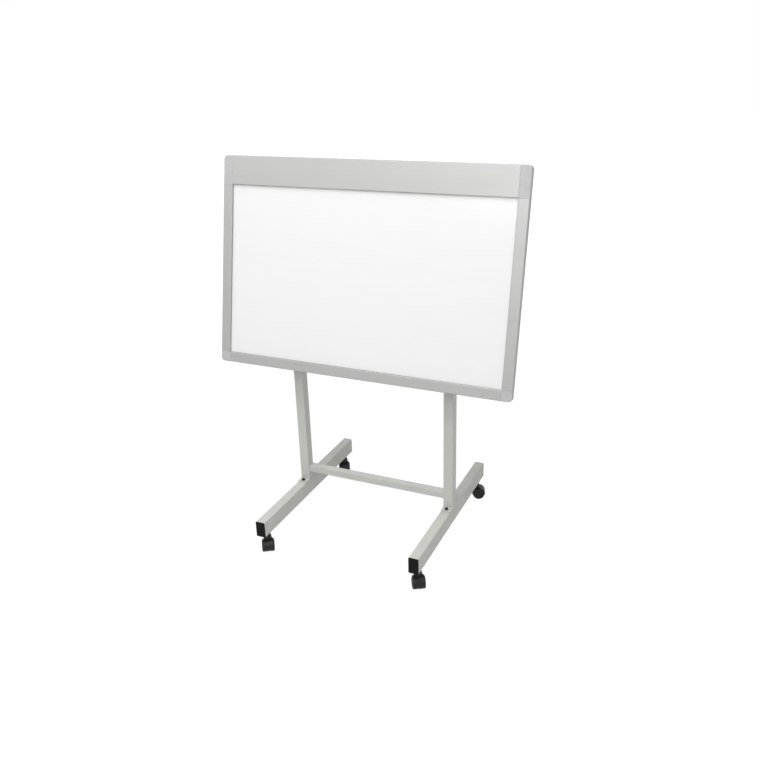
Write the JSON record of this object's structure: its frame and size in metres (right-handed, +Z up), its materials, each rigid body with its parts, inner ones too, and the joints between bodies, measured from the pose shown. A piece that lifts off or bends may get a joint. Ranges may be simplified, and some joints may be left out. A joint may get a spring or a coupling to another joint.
{
  "type": "mobile whiteboard",
  "caption": "Wheeled whiteboard: a framed white panel with a tall header, tilting on a two-post stand with swivel casters.",
  "frame": {"origin": "on the floor, midway between the two posts", "axes": "+Z up, +Y from the writing side towards the back, +X to the right as seen from the writing side"},
  "size_m": [1.2, 0.78, 1.4884],
  "materials": {
    "aluminium": "brushed, clear anodised",
    "corner_plastic": "silver-grey moulded, satin",
    "white_enamel": "gloss white enamel",
    "paper_honeycomb": "raw paper honeycomb",
    "galvanised": "galvanised sheet",
    "zinc_steel": "zinc plated",
    "painted_steel": "light grey powder coat",
    "stand_paint": "light grey powder coat",
    "black_plastic": "black moulded, fine texture",
    "caster_plastic": "black nylon, satin",
    "bright_bolt": "bright zinc",
    "black_bolt": "black oxide"
  },
  "bodies": {
    "stand": {"left_post": "stand_paint", "left_post_cap": "black_plastic", "left_foot": "stand_paint", "left_foot_front_cap": "black_plastic", "left_foot_rear_cap": "black_plastic", "left_foot_front_bolt": "black_bolt", "left_foot_rear_bolt": "black_bolt", "left_pivot_rivet": "bright_bolt", "right_post": "stand_paint", "right_post_cap": "black_plastic", "right_foot": "stand_paint", "right_foot_front_cap": "black_plastic", "right_foot_rear_cap": "black_plastic", "right_foot_front_bolt": "black_bolt", "right_foot_rear_bolt": "black_bolt", "right_pivot_rivet": "bright_bolt", "cross_bar": "stand_paint", "front_left_stem": "bright_bolt", "front_right_stem": "bright_bolt", "rear_left_stem": "bright_bolt", "rear_right_stem": "bright_bolt"},
    "board": {"writing_panel": "white_enamel", "panel_core": "paper_honeycomb", "back_sheet": "galvanised", "header_profile": "aluminium", "bottom_profile": "aluminium", "left_profile": "aluminium", "right_profile": "aluminium", "top_left_corner": "corner_plastic", "top_right_corner": "corner_plastic", "bottom_left_corner": "corner_plastic", "bottom_right_corner": "corner_plastic", "left_rail": "zinc_steel", "right_rail": "zinc_steel", "left_bracket": "painted_steel", "right_bracket": "painted_steel", "left_bracket_lower_bolt": "bright_bolt", "left_bracket_upper_bolt": "bright_bolt", "right_bracket_lower_bolt": "bright_bolt", "right_bracket_upper_bolt": "bright_bolt"},
    "left_knob": {"left_lock_knob": "black_plastic"},
    "right_knob": {"right_lock_knob": "black_plastic"},
    "front_left_caster": {"front_left_hood": "caster_plastic", "front_left_axle": "bright_bolt"},
    "front_left_wheel_a": {"front_left_wheel_a": "caster_plastic"},
    "front_left_wheel_b": {"front_left_wheel_b": "caster_plastic"},
    "front_right_caster": {"front_right_hood": "caster_plastic", "front_right_axle": "bright_bolt"},
    "front_right_wheel_a": {"front_right_wheel_a": "caster_plastic"},
    "front_right_wheel_b": {"front_right_wheel_b": "caster_plastic"},
    "rear_left_caster": {"rear_left_hood": "caster_plastic", "rear_left_axle": "bright_bolt"},
    "rear_left_wheel_a": {"rear_left_wheel_a": "caster_plastic"},
    "rear_left_wheel_b": {"rear_left_wheel_b": "caster_plastic"},
    "rear_right_caster": {"rear_right_hood": "caster_plastic", "rear_right_axle": "bright_bolt"},
    "rear_right_wheel_a": {"rear_right_wheel_a": "caster_plastic"},
    "rear_right_wheel_b": {"rear_right_wheel_b": "caster_plastic"}
  },
  "joints": [
    {"name": "board_tilt", "type": "hinge", "parent": "stand", "child": "board", "pos_m": [0, 0, 1.0835], "axis": [-1, 0, 0], "range_deg": [-11.5, 18.5]},
    {"name": "left_knob_turn", "type": "hinge", "parent": "stand", "child": "left_knob", "pos_m": [-0.3473, 0, 1.0285], "axis": [-1, 0, 0], "range_deg": [0, 360]},
    {"name": "right_knob_turn", "type": "hinge", "parent": "stand", "child": "right_knob", "pos_m": [0.3473, 0, 1.0285], "axis": [1, 0, 0], "range_deg": [0, 360]},
    {"name": "front_left_swivel", "type": "hinge", "parent": "stand", "child": "front_left_caster", "pos_m": [-0.3235, -0.3445, 0.07], "axis": [0, 0, 1], "continuous": true},
    {"name": "front_left_wheel_a_spin", "type": "hinge", "parent": "front_left_caster", "child": "front_left_wheel_a", "pos_m": [-0.31688, -0.3551, 0.02479], "axis": [0.848, 0.5299, 0], "continuous": true},
    {"name": "front_left_wheel_b_spin", "type": "hinge", "parent": "front_left_caster", "child": "front_left_wheel_b", "pos_m": [-0.31688, -0.3551, 0.02479], "axis": [0.848, 0.5299, 0], "continuous": true},
    {"name": "front_right_swivel", "type": "hinge", "parent": "stand", "child": "front_right_caster", "pos_m": [0.3235, -0.3445, 0.07], "axis": [0, 0, 1], "continuous": true},
    {"name": "front_right_wheel_a_spin", "type": "hinge", "parent": "front_right_caster", "child": "front_right_wheel_a", "pos_m": [0.32975, -0.35533, 0.02479], "axis": [0.866, 0.5, 0], "continuous": true},
    {"name": "front_right_wheel_b_spin", "type": "hinge", "parent": "front_right_caster", "child": "front_right_wheel_b", "pos_m": [0.32975, -0.35533, 0.02479], "axis": [0.866, 0.5, 0], "continuous": true},
    {"name": "rear_left_swivel", "type": "hinge", "parent": "stand", "child": "rear_left_caster", "pos_m": [-0.3235, 0.3445, 0.07], "axis": [0, 0, 1], "continuous": true},
    {"name": "rear_left_wheel_a_spin", "type": "hinge", "parent": "rear_left_caster", "child": "rear_left_wheel_a", "pos_m": [-0.31842, 0.33308, 0.02479], "axis": [0.9135, 0.4067, 0], "continuous": true},
    {"name": "rear_left_wheel_b_spin", "type": "hinge", "parent": "rear_left_caster", "child": "rear_left_wheel_b", "pos_m": [-0.31842, 0.33308, 0.02479], "axis": [0.9135, 0.4067, 0], "continuous": true},
    {"name": "rear_right_swivel", "type": "hinge", "parent": "stand", "child": "rear_right_caster", "pos_m": [0.3235, 0.3445, 0.07], "axis": [0, 0, 1], "continuous": true},
    {"name": "rear_right_wheel_a_spin", "type": "hinge", "parent": "rear_right_caster", "child": "rear_right_wheel_a", "pos_m": [0.33532, 0.34857, 0.02479], "axis": [-0.3256, 0.9455, 0], "continuous": true},
    {"name": "rear_right_wheel_b_spin", "type": "hinge", "parent": "rear_right_caster", "child": "rear_right_wheel_b", "pos_m": [0.33532, 0.34857, 0.02479], "axis": [-0.3256, 0.9455, 0], "continuous": true}
  ]
}
